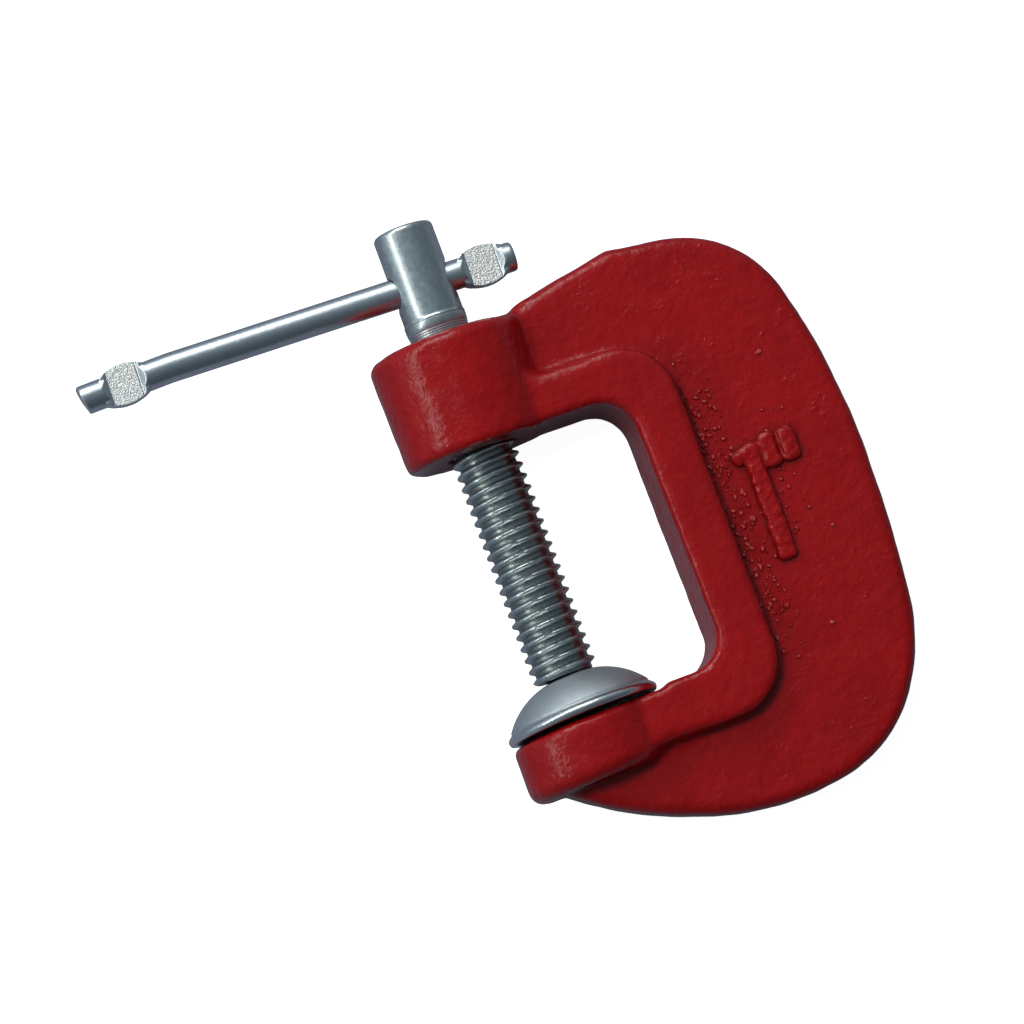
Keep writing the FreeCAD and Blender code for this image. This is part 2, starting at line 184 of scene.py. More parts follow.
def bore(piece, radius, foot, top):
    """Cuts a plain round hole about the screw's axis, between two heights in millimetres."""
    deselect_all()
    bpy.ops.mesh.primitive_cylinder_add(
        vertices=ROUND_SIDES, radius=radius * MM, depth=(top - foot) * MM,
        location=(0, (foot + top) / 2 * MM, 0), rotation=(math.pi / 2, 0, 0),
    )
    drill = bpy.context.active_object
    apply_modifier(piece, "BOOLEAN", object=drill, operation="DIFFERENCE", solver="EXACT")
    bpy.data.objects.remove(drill)


def on_numeral(place):
    """Whether a place stands out of the web's face where the crisp CAD numeral is."""
    across = NUMERAL_LEFT < place.x < NUMERAL_RIGHT
    return place.z > WEB_FACE and across and NUMERAL_FOOT < place.y < NUMERAL_TOP


casting = copy_of_node("frame", "casting")
bore(casting, BORE_RADIUS, BORE_FOOT, BORE_TOP)
remesh(casting, CASTING_VOXEL)
for vertex in casting.data.vertices:
    place = TO_MID_PLANE @ vertex.co / MM
    if on_numeral(place):
        place.z = WEB_FACE
        vertex.co = TO_MID_PLANE.inverted() @ place * MM
smooth(casting, CASTING_TURNS)
hollows = weigh(
    casting, "hollows", lambda place: boss_valley(place) + anvil_valley(place) + arm_edge(place)
)
smooth(casting, HOLLOW_TURNS, vertex_group=hollows)
for vertex in casting.data.vertices:
    place = TO_MID_PLANE @ vertex.co / MM
    if place.y > NOTCH_FOOT:
        blend = min(1.0, (place.y - NOTCH_FOOT) / NOTCH_BLEND)
        fill = NOTCH_FILL * near(place.x, NOTCH_PLACE, NOTCH_SPREAD) * blend
        vertex.co.y += fill * MM
    elif place.y < ANVIL_BELOW and place.x < ANVIL_END:
        vertex.co.y -= math.tan(ANVIL_SLOPE) * (ANVIL_END - place.x) * MM
lumps = bpy.data.textures.new("sand_lumps", "CLOUDS")
lumps.noise_scale = LUMP_SIZE
lumps.noise_depth = LUMP_DETAIL
roughen(casting, lumps, LUMP_DEPTH, LUMP_LEVEL)
shade_smooth(casting)

# The raised size numeral, a one with two inch ticks: separate soft-edged blocks on the web.
BLOCK_SINK = 0.6
BLOCK_RISE = 0.9
BLOCK_ROUND = 0.7
BLOCK_SEGMENTS = 4
NUMERAL_VOXEL = 0.12 * MM
NUMERAL_TURNS = 20
BLISTER_SIZE = 1.1 * MM
BLISTER_DEPTH = 0.35 * MM
BLISTER_LEVEL = 0.6
# Left, right, foot and top in millimetres, and a turn in degrees.
NUMERAL_BLOCKS = {
    "stem": (27.75, 30.1, 9.0, 23.5, 0),
    "flag": (26.4, 28.9, 21.3, 23.1, 25),
    "near_tick": (30.05, 32.25, 19.7, 24.1, 0),
    "far_tick": (32.35, 34.7, 19.8, 23.9, 0),
}


def soft_block(left, right, foot, top, turn):
    """A rounded block on the web's face, in millimetres in the mid-plane."""
    height = BLOCK_SINK + BLOCK_RISE
    middle = Vector(((left + right) / 2, (foot + top) / 2, WEB_FACE - BLOCK_SINK + height / 2))
    deselect_all()
    bpy.ops.mesh.primitive_cube_add(
        size=1, location=middle * MM, rotation=(0, 0, math.radians(turn)),
        scale=Vector((right - left, top - foot, height)) * MM,
    )
    block = bpy.context.active_object
    bpy.ops.object.transform_apply()
    apply_modifier(block, "BEVEL", width=BLOCK_ROUND * MM, segments=BLOCK_SEGMENTS)
    return block


blocks = [soft_block(*values) for values in NUMERAL_BLOCKS.values()]
deselect_all()
for block in blocks:
    block.select_set(True)
bpy.context.view_layer.objects.active = blocks[0]
bpy.ops.object.join()
numeral = bpy.context.active_object
numeral.name = "numeral"
numeral.data.transform(TO_MID_PLANE.inverted())
remesh(numeral, NUMERAL_VOXEL)
smooth(numeral, NUMERAL_TURNS)
blisters = bpy.data.textures.new("blisters", "CLOUDS")
blisters.noise_scale = BLISTER_SIZE
roughen(numeral, blisters, BLISTER_DEPTH, BLISTER_LEVEL)
shade_smooth(numeral)

# Sand that stuck in the mould and was enamelled over: small grains, thickest along the flange's
# root and thinner round the numeral. The sheet they stand on lies inside the web.
GRAIN_CELL = 0.68
GRAIN_SMALL = 0.45
GRAIN_LARGE = 0.8
GRAIN_FOOT = -0.45
GRAIN_TOP = 0.22
GRAIN_JITTER = 0.4
GRAIN_MARGIN = 0.01
GRAIN_SEED = 1
PRESENCE_DRAW = 37
SIZE_DRAW = 11
GLINT_GAIN, GLINT_FROM = 1.8, 0.35
# The middle and the spread of the bands where grains lie, across the web and up it, how quickly
# each band fills, and how many of its cells hold a grain.
ROOT_ACROSS, ROOT_UP = (25.2, 2.6), (17, 21)
ROOT_ACROSS_GAIN, ROOT_UP_GAIN = 1.8, 2.5
MARK_ACROSS, MARK_UP = (30, 5), (18, 9)
ROOT_SHARE = 0.9
MARK_SHARE = 0.5
STRAY_SHARE = 0.03
SHEET_LEFT, SHEET_RIGHT = 22.8, 35.8
SHEET_FOOT, SHEET_TOP = -2.0, 36.0
SHEET_STEP = 0.08


def chance(place, draw):
    """A chance from nought to one, the same each time for the same place and draw."""
    return (noise.cell(place * draw) + 1) / 2


def grain_share(place):
    """The share of the cells that hold a grain, at a place on the web."""
    across = min(1.0, ROOT_ACROSS_GAIN * near(place.x, *ROOT_ACROSS))
    up = min(1.0, ROOT_UP_GAIN * near(place.y, *ROOT_UP))
    mark = near(place.x, *MARK_ACROSS) * near(place.y, *MARK_UP)
    return max(ROOT_SHARE * (across * up), MARK_SHARE * mark, STRAY_SHARE)


def grain_height(place):
    """How far the grains stand out of the web's face at a place on it."""
    bent = place / GRAIN_CELL + noise.noise_vector(place) * GRAIN_JITTER
    distances, centres = noise.voronoi(bent)
    if chance(centres[0], PRESENCE_DRAW) > grain_share(place):
        return GRAIN_FOOT
    size = GRAIN_SMALL + (GRAIN_LARGE - GRAIN_SMALL) * chance(centres[0], SIZE_DRAW)
    rise = math.sqrt(max(0.0, 1 - (distances[0] / size) ** 2))
    return GRAIN_FOOT + (GRAIN_TOP - GRAIN_FOOT) * rise


# Without a seed the grains would lie differently each time.
noise.seed_set(GRAIN_SEED)
sheet_width, sheet_length = SHEET_RIGHT - SHEET_LEFT, SHEET_TOP - SHEET_FOOT
deselect_all()
bpy.ops.mesh.primitive_grid_add(
    x_subdivisions=round(sheet_width / SHEET_STEP),
    y_subdivisions=round(sheet_length / SHEET_STEP),
    size=MM,
)
grains = bpy.context.active_object
grains.name = "sand_grains"
bpy.ops.object.mode_set(mode="EDIT")
bpy.ops.mesh.select_all(action="DESELECT")
bpy.ops.object.mode_set(mode="OBJECT")
for vertex in grains.data.vertices:
    place = Vector((
        SHEET_LEFT + (vertex.co.x / MM + 0.5) * sheet_width,
        SHEET_FOOT + (vertex.co.y / MM + 0.5) * sheet_length,
        0,
    ))
    height = grain_height(place)
    vertex.select = height < GRAIN_FOOT + GRAIN_MARGIN
    place.z = WEB_FACE + height
    vertex.co = TO_MID_PLANE.inverted() @ place * MM
bpy.ops.object.mode_set(mode="EDIT")
bpy.ops.mesh.delete(type="VERT")
bpy.ops.object.mode_set(mode="OBJECT")
roughen(grains, lumps, LUMP_DEPTH, LUMP_LEVEL, direction="Z")
# Painted highlight: each vertex keeps a share that is greatest at the grains' tops, which are
# painted paler as glints.
glint_shares = []
for vertex in grains.data.vertices:
    height = (TO_MID_PLANE @ vertex.co).z / MM - WEB_FACE
    glint_shares.append(clamp(GLINT_GAIN * height / GRAIN_TOP - GLINT_FROM))
store(grains, "painted_glint", glint_shares)
shade_smooth(grains)

# The enamel: its tones, and the size, depth and band of values of each pattern in it.
ENAMEL_LIGHT = (0.28, 0.0032, 0.004, 1)
ENAMEL_DARK = (0.22, 0.0024, 0.0032, 1)
# A painted shade colour, for corners and creases where shade falls.
ENAMEL_PAINTED_SHADE = (0.03, 0.001, 0.001, 1)
# A painted highlight colour for the grains' tops.
ENAMEL_PAINTED_GLINT = (0.52, 0.09, 0.07, 1)
PAINTED_SHADE_REACH, PAINTED_SHADE_LEAST = 0.8 * MM, 0.25
OPEN_SAMPLES, OPEN_FULL = 8, 0.95
WIDE_BAND = (0.3, 0.7)
CLOUD_SIZE, CLOUD_BAND, CLOUD_SHARE = 9 * MM, (0.35, 0.65), 0.6
FLECK_SIZE, FLECK_SHARE = 1.3 * MM, 0.4
GLOSS_SIZE, GLOSS_ROUGH = 2.2 * MM, (0.16, 0.28)
ENAMEL_SPECULAR = 0.3
ENAMEL_COAT, ENAMEL_COAT_ROUGH = 0.12, 0.08
PEEL_SIZE, PEEL_DEPTH = 1.2 * MM, 0.17 * MM
FINE_SIZE, FINE_DEPTH = 0.5 * MM, 0.06 * MM
PATCH_SIZE, PATCH_BAND = 2.2 * MM, (0.54, 0.66)
PIMPLE_SIZE, PIMPLE_BAND, PIMPLE_DEPTH = 0.6 * MM, (0.56, 0.72), 0.05 * MM
WEB_BAND = (3.15 * MM, 3.4 * MM)


class Nodes:
    """A short way to write a material's nodes."""

    def __init__(self, name):
        self.material = bpy.data.materials.new(name)
        self.material.use_nodes = True
        self.tree = self.material.node_tree
        self.shader = self.tree.nodes["Principled BSDF"]
        self.place = self.add("ShaderNodeTexCoord").outputs["Object"]

    def attribute(self, name):
        node = self.add("ShaderNodeAttribute")
        node.attribute_name = name
        return node.outputs["Fac"]

    def put(self, node, name, value):
        socket = node.inputs[name]
        if isinstance(value, bpy.types.NodeSocket):
            self.tree.links.new(value, socket)
        else:
            socket.default_value = value

    def add(self, kind, *values, **inputs):
        node = self.tree.nodes.new(kind)
        for number, value in enumerate(values):
            self.put(node, number, value)
        for name, value in inputs.items():
            self.put(node, name.replace("_", " "), value)
        return node

    def set(self, **inputs):
        for name, value in inputs.items():
            self.put(self.shader, name.replace("_", " "), value)

    def linked(self, name):
        """The socket that feeds one of the shader's inputs."""
        return self.shader.inputs[name].links[0].from_socket

    def noise(self, size, detail=2.0, roughness=0.5):
        """Clouds of about this size."""
        node = self.add("ShaderNodeTexNoise", Vector=self.place, Scale=1 / size)
        self.put(node, "Detail", detail)
        self.put(node, "Roughness", roughness)
        return node.outputs["Fac"]

    def moved(self, scale=(1, 1, 1), turn=(0, 0, 0)):
        """The place after a scaling and a turn."""
        node = self.add("ShaderNodeMapping", Vector=self.place)
        node.inputs["Scale"].default_value = scale
        node.inputs["Rotation"].default_value = turn
        return node.outputs["Vector"]

    def ramp(self, value, low, high, low_out=0.0, high_out=1.0):
        """A value moved from one range to another, and held within it."""
        node = self.add("ShaderNodeMapRange", value, low, high, low_out, high_out)
        return node.outputs["Result"]

    def math(self, operation, first, second=0.0):
        node = self.add("ShaderNodeMath", first, second)
        node.operation = operation
        return node.outputs[0]

    def mix(self, share, first, second):
        node = self.tree.nodes.new("ShaderNodeMix")
        node.data_type = "RGBA"
        self.put(node, 0, share)
        self.put(node, 6, first)
        self.put(node, 7, second)
        return node.outputs[2]

    def axis(self, name, place=None):
        return self.add("ShaderNodeSeparateXYZ", place or self.place).outputs[name]

    def painted_shade_openness(self, reach, least):
        """Painted shade: one where nothing stands within reach, falling to nothing deep in a
        corner.
        """
        node = self.add("ShaderNodeAmbientOcclusion", Distance=reach)
        node.samples = OPEN_SAMPLES
        return self.ramp(node.outputs["AO"], least, OPEN_FULL)

    def bump(self, height, depth, below=None):
        node = self.add("ShaderNodeBump", Height=height, Distance=depth)
        if below is not None:
            self.put(node, "Normal", below)
        return node.outputs["Normal"]


def red_enamel():
    nodes = Nodes("red_enamel")
    mid_plane = nodes.moved(turn=(0, -LEAN, 0))
    cloud = nodes.ramp(nodes.noise(CLOUD_SIZE, 3.0), *CLOUD_BAND)
    fleck = nodes.ramp(nodes.noise(FLECK_SIZE, 2.0), *WIDE_BAND)
    cloud_part = nodes.math("MULTIPLY", cloud, CLOUD_SHARE)
    fleck_part = nodes.math("MULTIPLY", fleck, FLECK_SHARE)
    plain = nodes.mix(nodes.math("ADD", cloud_part, fleck_part), ENAMEL_DARK, ENAMEL_LIGHT)
    # Painted highlight: the tops of the grains are painted paler, standing for the glints of
    # light on them.
    plain = nodes.mix(nodes.attribute("painted_glint"), plain, ENAMEL_PAINTED_GLINT)
    # Painted shade: the enamel is painted near black in corners and creases, where shade falls.
    out_of_painted_shade = nodes.painted_shade_openness(PAINTED_SHADE_REACH, PAINTED_SHADE_LEAST)
    nodes.set(Base_Color=nodes.mix(out_of_painted_shade, ENAMEL_PAINTED_SHADE, plain))
    nodes.set(Roughness=nodes.ramp(nodes.noise(GLOSS_SIZE), *WIDE_BAND, *GLOSS_ROUGH))
    nodes.set(Specular_IOR_Level=ENAMEL_SPECULAR)
    nodes.set(Coat_Weight=ENAMEL_COAT, Coat_Roughness=ENAMEL_COAT_ROUGH)
    peel = nodes.bump(nodes.noise(PEEL_SIZE), PEEL_DEPTH)
    fine = nodes.bump(nodes.noise(FINE_SIZE), FINE_DEPTH, below=peel)
    # Scattered pimples on the open face of the web.
    web_only = nodes.ramp(nodes.axis("Z", mid_plane), *WEB_BAND, 1.0, 0.0)
    patchy = nodes.ramp(nodes.noise(PATCH_SIZE, 3.0), *PATCH_BAND)
    spots = nodes.ramp(nodes.noise(PIMPLE_SIZE, 1.0), *PIMPLE_BAND)
    pimples = nodes.math("MULTIPLY", patchy, spots)
    pimples = nodes.math("MULTIPLY", pimples, web_only)
    nodes.set(Normal=nodes.bump(pimples, PIMPLE_DEPTH, below=fine))
    return nodes


def dress(piece, nodes):
    piece.data.materials.clear()
    piece.data.materials.append(nodes.material)


enamel = red_enamel()
for piece in (casting, numeral, grains):
    dress(piece, enamel)
    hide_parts("frame")
    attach(piece, "frame")


# ---------------------------------------------------------------------------------------------
# The screw: a steel spindle with a plain cross-drilled head, a turned collar and a rolled
# thread, bright zinc plated. It turns in the boss and carries the pad on its riveted neck.
# ---------------------------------------------------------------------------------------------
MOTTLE_SIZE, MOTTLE_DETAIL, MOTTLE_BREAKUP = 0.9 * MM, 4.0, 0.6
SKIN_SIZE, SKIN_DETAIL, SKIN_BREAKUP = 0.3 * MM, 3.0, 0.6
SKIN_DEPTH = 0.02 * MM


def zinc(name, light, dark):
    """Zinc plating, mottled between two tones."""
    nodes = Nodes(name)
    mottle = nodes.ramp(nodes.noise(MOTTLE_SIZE, MOTTLE_DETAIL, MOTTLE_BREAKUP), *WIDE_BAND)
    nodes.set(Metallic=1.0, Base_Color=nodes.mix(mottle, dark, light))
    return nodes


def skin(nodes):
    """The fine unevenness of zinc plating, as a bump."""
    return nodes.bump(nodes.noise(SKIN_SIZE, SKIN_DETAIL, SKIN_BREAKUP), SKIN_DEPTH)


def turned(name, profile):
    """A solid of revolution about the screw's axis, through rings of (height, radius)."""
    (first_height, first_radius), *others = profile
    deselect_all()
    bpy.ops.mesh.primitive_circle_add(
        vertices=ROUND_SIDES, radius=first_radius * MM, fill_type="NGON",
        location=(0, first_height * MM, 0), rotation=(math.pi / 2, 0, 0),
    )
    piece = bpy.context.active_object
    piece.name = name
    bpy.ops.object.transform_apply()
    bpy.ops.object.mode_set(mode="EDIT")
    bpy.ops.mesh.select_all(action="SELECT")
    height, radius = first_height, first_radius
    for next_height, next_radius in others:
        bpy.ops.mesh.extrude_region_move(
            TRANSFORM_OT_translate={"value": (0, (next_height - height) * MM, 0)}
        )
        wider = next_radius / radius
        bpy.ops.transform.resize(
            value=(wider, 1, wider), center_override=(0, next_height * MM, 0)
        )
        height, radius = next_height, next_radius
    bpy.ops.mesh.select_all(action="SELECT")
    bpy.ops.mesh.normals_make_consistent(inside=False)
    bpy.ops.object.mode_set(mode="OBJECT")
    return piece


# The thread runs out under the head in fine rings on a waist, which a turned piece stands for.
BOSS_TOP = 46.75
WAIST_CORE = 3.1
WAIST_FOOT_RADIUS = 3.42
WAIST_TOP_RADIUS = 3.7
WAIST_TOP = BOSS_TOP + 2.6
WAIST_FOOT = BOSS_TOP - 0.4
WAIST_LAP = 0.3
WAIST_BEVEL, WAIST_BEVEL_SEGMENTS, WAIST_BEVEL_ANGLE = 0.05 * MM, 2, 0.4
RINGS = 7
RINGS_FOOT = BOSS_TOP - 0.1
RING_STEP = 0.28
RING_DEPTH = 0.07
HEAD_FOOT = WAIST_TOP + 0.08
HEAD_VOXEL = 0.14 * MM
HEAD_TURNS = 3
THREAD_TOP = BOSS_TOP - 0.2
THREAD_VOXEL = 0.168 * MM
THREAD_TURNS = 1
THREAD_NECK = 2.8
THREAD_ROOT = 3.3
THREAD_CREST = 3.9
THREAD_CREASE = math.radians(40)
SCREW_LIGHT = (0.66, 0.72, 0.71, 1)
SCREW_DARK = (0.54, 0.60, 0.60, 1)
SHEEN_SIZE, SHEEN_DETAIL, SHEEN_ROUGH = 0.7 * MM, 3.0, (0.24, 0.38)
# A painted shade colour for the bottom of the thread.
ROOT_PAINTED_SHADE = (0.3, 0.32, 0.31, 1)
ROOT_SHADE_BAND = ((THREAD_ROOT + 0.03) * MM, (THREAD_ROOT + 0.2) * MM)
HEAD_BAND = ((BOSS_TOP - 1) * MM, BOSS_TOP * MM)
GRAIN_OF_BAR = 0.15 * MM
GRAIN_DEPTHS = (0.002 * MM, 0.008 * MM)


def saw_off(piece, place, outward):
    """Cuts away what lies beyond a place, and closes the cut."""
    select_only(piece)
    bpy.ops.object.mode_set(mode="EDIT")
    bpy.ops.mesh.select_all(action="SELECT")
    bpy.ops.mesh.bisect(plane_co=place, plane_no=outward, use_fill=True, clear_outer=True)
    bpy.ops.object.mode_set(mode="OBJECT")


head = copy_of_node("screw", "head")
saw_off(head, Vector((0, HEAD_FOOT, 0)) * MM, (0, -1, 0))
remesh(head, HEAD_VOXEL)
smooth(head, HEAD_TURNS)
shade_smooth(head)

thread = copy_of_node("screw", "thread")
saw_off(thread, Vector((0, THREAD_TOP, 0)) * MM, (0, 1, 0))
remesh(thread, THREAD_VOXEL)
smooth(thread, THREAD_TURNS)
for vertex in thread.data.vertices:
    radius = math.hypot(vertex.co.x, vertex.co.z) / MM
    if radius > THREAD_NECK:
        worn = min(THREAD_CREST, max(THREAD_ROOT, radius)) / radius
        vertex.co.x *= worn
        vertex.co.z *= worn
select_only(thread)
bpy.ops.object.shade_smooth_by_angle(angle=THREAD_CREASE)

waist_line = [(WAIST_FOOT, WAIST_CORE), (WAIST_FOOT, WAIST_FOOT_RADIUS)]
for step in range(RINGS):
    height = RINGS_FOOT + step * RING_STEP
    radius = WAIST_FOOT_RADIUS + (WAIST_TOP_RADIUS - WAIST_FOOT_RADIUS) * step / RINGS
    waist_line.append((height, radius - RING_DEPTH))
    waist_line.append((height + RING_STEP * 0.5, radius))
waist_line.append((WAIST_TOP - WAIST_LAP, WAIST_TOP_RADIUS))
waist_line.append((WAIST_TOP + WAIST_LAP, WAIST_TOP_RADIUS))
waist_line.append((WAIST_TOP + WAIST_LAP, WAIST_CORE))
waist = turned("waist", waist_line)
apply_modifier(
    waist, "BEVEL", width=WAIST_BEVEL, segments=WAIST_BEVEL_SEGMENTS, limit_method="ANGLE",
    angle_limit=WAIST_BEVEL_ANGLE,
)
shade_smooth(waist)

plating = zinc("zinc_screw", SCREW_LIGHT, SCREW_DARK)
sheen = plating.noise(SHEEN_SIZE, SHEEN_DETAIL)
plating.set(Roughness=plating.ramp(sheen, *WIDE_BAND, *SHEEN_ROUGH))
# Painted shade darkens the bottom of the thread, where shade falls between its flanks, and the
# grain of the steel shows on the head.
around = plating.add("ShaderNodeVectorMath", plating.moved(scale=(1, 0, 1)))
around.operation = "LENGTH"
out_of_root_shade = plating.ramp(around.outputs["Value"], *ROOT_SHADE_BAND)
above_thread = plating.ramp(plating.axis("Y"), *HEAD_BAND)
unshaded_thread = plating.math("MAXIMUM", out_of_root_shade, above_thread)
plating.set(Base_Color=plating.mix(unshaded_thread, ROOT_PAINTED_SHADE, plating.linked("Base Color")))
depth = plating.ramp(above_thread, 0, 1, *GRAIN_DEPTHS)
plating.set(Normal=plating.bump(plating.noise(GRAIN_OF_BAR), depth))
for piece in (head, thread, waist):
    dress(piece, plating)
    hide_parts("screw")
    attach(piece, "screw")


# ---------------------------------------------------------------------------------------------
# The tommy bar: a zinc-plated steel rod that slides through the head. Each end is squeezed in a
# press after assembly, which leaves a stippled flat between two ears.
# ---------------------------------------------------------------------------------------------
EAR_PLACES = (-36.5, 7.5)
FLAT_REACH = 1.75
FLAT_HEIGHT = 1.05
FLAT_RAMP = 0.85
END_SLANT = math.radians(13)
END_PLACE = 42.1
END_DEPTH = 0.05 * MM
ROD_RADIUS = 1.78
BEND_START = -31.0
BEND = 0.05
EAR_REACH = 1.5
BAR_VOXEL = 0.12 * MM
BAR_TURNS = 4
BAR_LIGHT = (0.68, 0.73, 0.75, 1)
BAR_DARK = (0.58, 0.63, 0.65, 1)
FLAT_COLOUR = (0.92, 0.93, 0.90, 1)
FLAT_ROUGH = (0.3, 0.4)
FLAT_METAL = (1, 0.72)
DIMPLE_SIZE, DIMPLE_DEPTH = 0.2 * MM, 0.26 * MM

bar = copy_of_node("tommy_bar", "bar")
furthest = max(vertex.co.dot(bar_line) for vertex in bar.data.vertices)
places = [vertex.co for vertex in bar.data.vertices]
tip = [place for place in places if place.dot(bar_line) > furthest - END_DEPTH]
on_axis = sum(tip, Vector()) / len(tip)
bar_middle = on_axis - bar_line * (on_axis.x / bar_line.x)
flat_normal = Vector((math.sin(LEAN), 0, math.cos(LEAN)))
BAR_FRAME = Matrix((bar_line, flat_normal.cross(bar_line), flat_normal)).transposed().to_4x4()
BAR_FRAME.translation = bar_middle
bar.data.transform(BAR_FRAME.inverted())
end_corner = Vector((-END_PLACE, ROD_RADIUS, 0)) * MM
saw_off(bar, end_corner, (-math.cos(END_SLANT), -math.sin(END_SLANT), 0))
remesh(bar, BAR_VOXEL)
smooth(bar, BAR_TURNS)
pressed = []
for vertex in bar.data.vertices:
    place = vertex.co / MM
    beyond = min(abs(place.x - ear) for ear in EAR_PLACES) - FLAT_REACH
    limit = FLAT_HEIGHT + FLAT_RAMP * max(0.0, beyond)
    squeezed = beyond < 0 and abs(place.z) > FLAT_HEIGHT
    pressed.append(1.0 if squeezed else 0.0)
    if beyond < EAR_REACH and abs(place.z) > limit:
        vertex.co.z = math.copysign(limit, place.z) * MM
    if place.x < BEND_START:
        vertex.co.y += BEND * (place.x - BEND_START) * MM
store(bar, "pressed", pressed)
bar.data.transform(BAR_FRAME)
shade_smooth(bar)
rod = zinc("zinc_bar", BAR_LIGHT, BAR_DARK)
stippled = rod.attribute("pressed")
rod.set(Base_Color=rod.mix(stippled, rod.linked("Base Color"), FLAT_COLOUR))
rod.set(Roughness=rod.ramp(stippled, 0, 1, *FLAT_ROUGH))
rod.set(Metallic=rod.ramp(stippled, 0, 1, *FLAT_METAL))
dimples = rod.math("MULTIPLY", stippled, rod.noise(DIMPLE_SIZE))
rod.set(Normal=rod.bump(dimples, DIMPLE_DEPTH, below=skin(rod)))
dress(bar, rod)
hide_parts("tommy_bar")
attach(bar, "tommy_bar")


# ---------------------------------------------------------------------------------------------
# The swivel pad: a cup pressed from steel, satin zinc plated and held loosely on the screw's
# neck, so that it tips a little and rests on one side of its rim.
# ---------------------------------------------------------------------------------------------
PAD_TIP = math.radians(2.2)
PAD_RAISE = math.radians(-1.3)
PAD_SHIFT = 0.35 * MM
PAD_LIFT = -0.15 * MM
NECK_HOLE = 1.2
NECK_HOLE_REACH = 1.1
PAD_VOXEL = 0.14 * MM
PAD_TURNS = 3
PAD_LIGHT = (0.57, 0.62, 0.64, 1)
PAD_DARK = (0.50, 0.55, 0.58, 1)
# A painted highlight colour for the lip's band.
LIP_PAINTED_HIGHLIGHT = (0.78, 0.8, 0.79, 1)
PAD_ROUGH = (0.56, 0.22)

# The lip's band, which is smoother and painted paler as a painted highlight, its swell and the
# groove over it: each a middle height over the rim and a spread, in millimetres.
LIP_INSIDE = 8.2 * MM
LIP_GLOSS_AND_HIGHLIGHT, LIP_GLOSS_AND_HIGHLIGHT_GAIN = (0.4, 1.0), 2
LIP_SWELL, LIP_SWELL_BAND = 0.2 * MM, (0.5, 0.65)
LIP_GROOVE, LIP_GROOVE_BAND = 0.14 * MM, (1.25, 0.3)

cup = copy_of_node("swivel_pad", "pad_cup")
cup_low, cup_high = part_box("swivel_pad")
hole_radius = min(math.hypot(vertex.co.x, vertex.co.z) for vertex in cup.data.vertices)
for vertex in cup.data.vertices:
    if math.hypot(vertex.co.x, vertex.co.z) < hole_radius * NECK_HOLE_REACH:
        vertex.co.x *= NECK_HOLE
        vertex.co.z *= NECK_HOLE
remesh(cup, PAD_VOXEL)
smooth(cup, PAD_TURNS)
lip = []
for vertex in cup.data.vertices:
    height = (vertex.co.y - cup_low.y) / MM
    radius = math.hypot(vertex.co.x, vertex.co.z)
    gloss_and_highlight = min(1.0, LIP_GLOSS_AND_HIGHLIGHT_GAIN * near(height, *LIP_GLOSS_AND_HIGHLIGHT))
    lip.append(gloss_and_highlight if radius > LIP_INSIDE else 0.0)
    if radius > LIP_INSIDE:
        swell = LIP_SWELL * near(height, *LIP_SWELL_BAND)
        swell -= LIP_GROOVE * near(height, *LIP_GROOVE_BAND)
        vertex.co.x *= 1 + swell / radius
        vertex.co.z *= 1 + swell / radius
    vertex.co.y = cup_high.y - (cup_high.y - vertex.co.y) * (1 - PAD_LIFT / cup_high.y)
tipped = Matrix.Rotation(PAD_TIP, 4, "Z") @ Matrix.Rotation(PAD_RAISE, 4, "X")
cup.data.transform(Matrix.Translation((PAD_SHIFT, 0, 0)) @ tipped)
shade_smooth(cup)
store(cup, "lip", lip)
satin = zinc("zinc_pad", PAD_LIGHT, PAD_DARK)
on_lip = satin.attribute("lip")
satin.set(Roughness=satin.ramp(on_lip, 0, 1, *PAD_ROUGH), Normal=skin(satin))
# Painted highlight: the lip's band is painted paler than the dome; it is also made smoother.
satin.set(Base_Color=satin.mix(on_lip, satin.linked("Base Color"), LIP_PAINTED_HIGHLIGHT))
dress(cup, satin)
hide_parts("swivel_pad")
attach(cup, "swivel_pad")


# ---------------------------------------------------------------------------------------------
# The bench, the light and the camera, which looks almost straight down on the clamp. The bench
# sends little light up under the clamp, so that its undersides stay dark.
# ---------------------------------------------------------------------------------------------
BENCH_SEEN = (0.5, 0.5, 0.5, 1)
BENCH_MIRRORED = (0.15, 0.17, 0.22, 1)
BENCH_BOUNCE = (0.12, 0.13, 0.14, 1)
BENCH_GLOW = 0.94
BENCH_ROUGH = 0.9
BENCH_SPAN = 4
MIRRORED_GLOW = 0.02
WHITE = (1, 1, 1, 1)
deselect_all()
bpy.ops.mesh.primitive_plane_add(size=BENCH_SPAN, location=(0, 0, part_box("frame")[0].z))
bench = bpy.context.active_object
bench.name = "bench"
nodes = Nodes("bench_white")
rays = nodes.add("ShaderNodeLightPath").outputs
mirrored = nodes.math("MAXIMUM", rays["Is Glossy Ray"], rays["Is Transmission Ray"])
glow = nodes.math("ADD", rays["Is Camera Ray"], nodes.math("MULTIPLY", mirrored, MIRRORED_GLOW))
unseen = nodes.mix(mirrored, BENCH_BOUNCE, BENCH_MIRRORED)
nodes.set(Base_Color=nodes.mix(rays["Is Camera Ray"], unseen, BENCH_SEEN))
nodes.set(Roughness=BENCH_ROUGH, Specular_IOR_Level=0.0, Emission_Color=WHITE)
nodes.set(Emission_Strength=nodes.math("MULTIPLY", glow, BENCH_GLOW))
bench.data.materials.append(nodes.material)

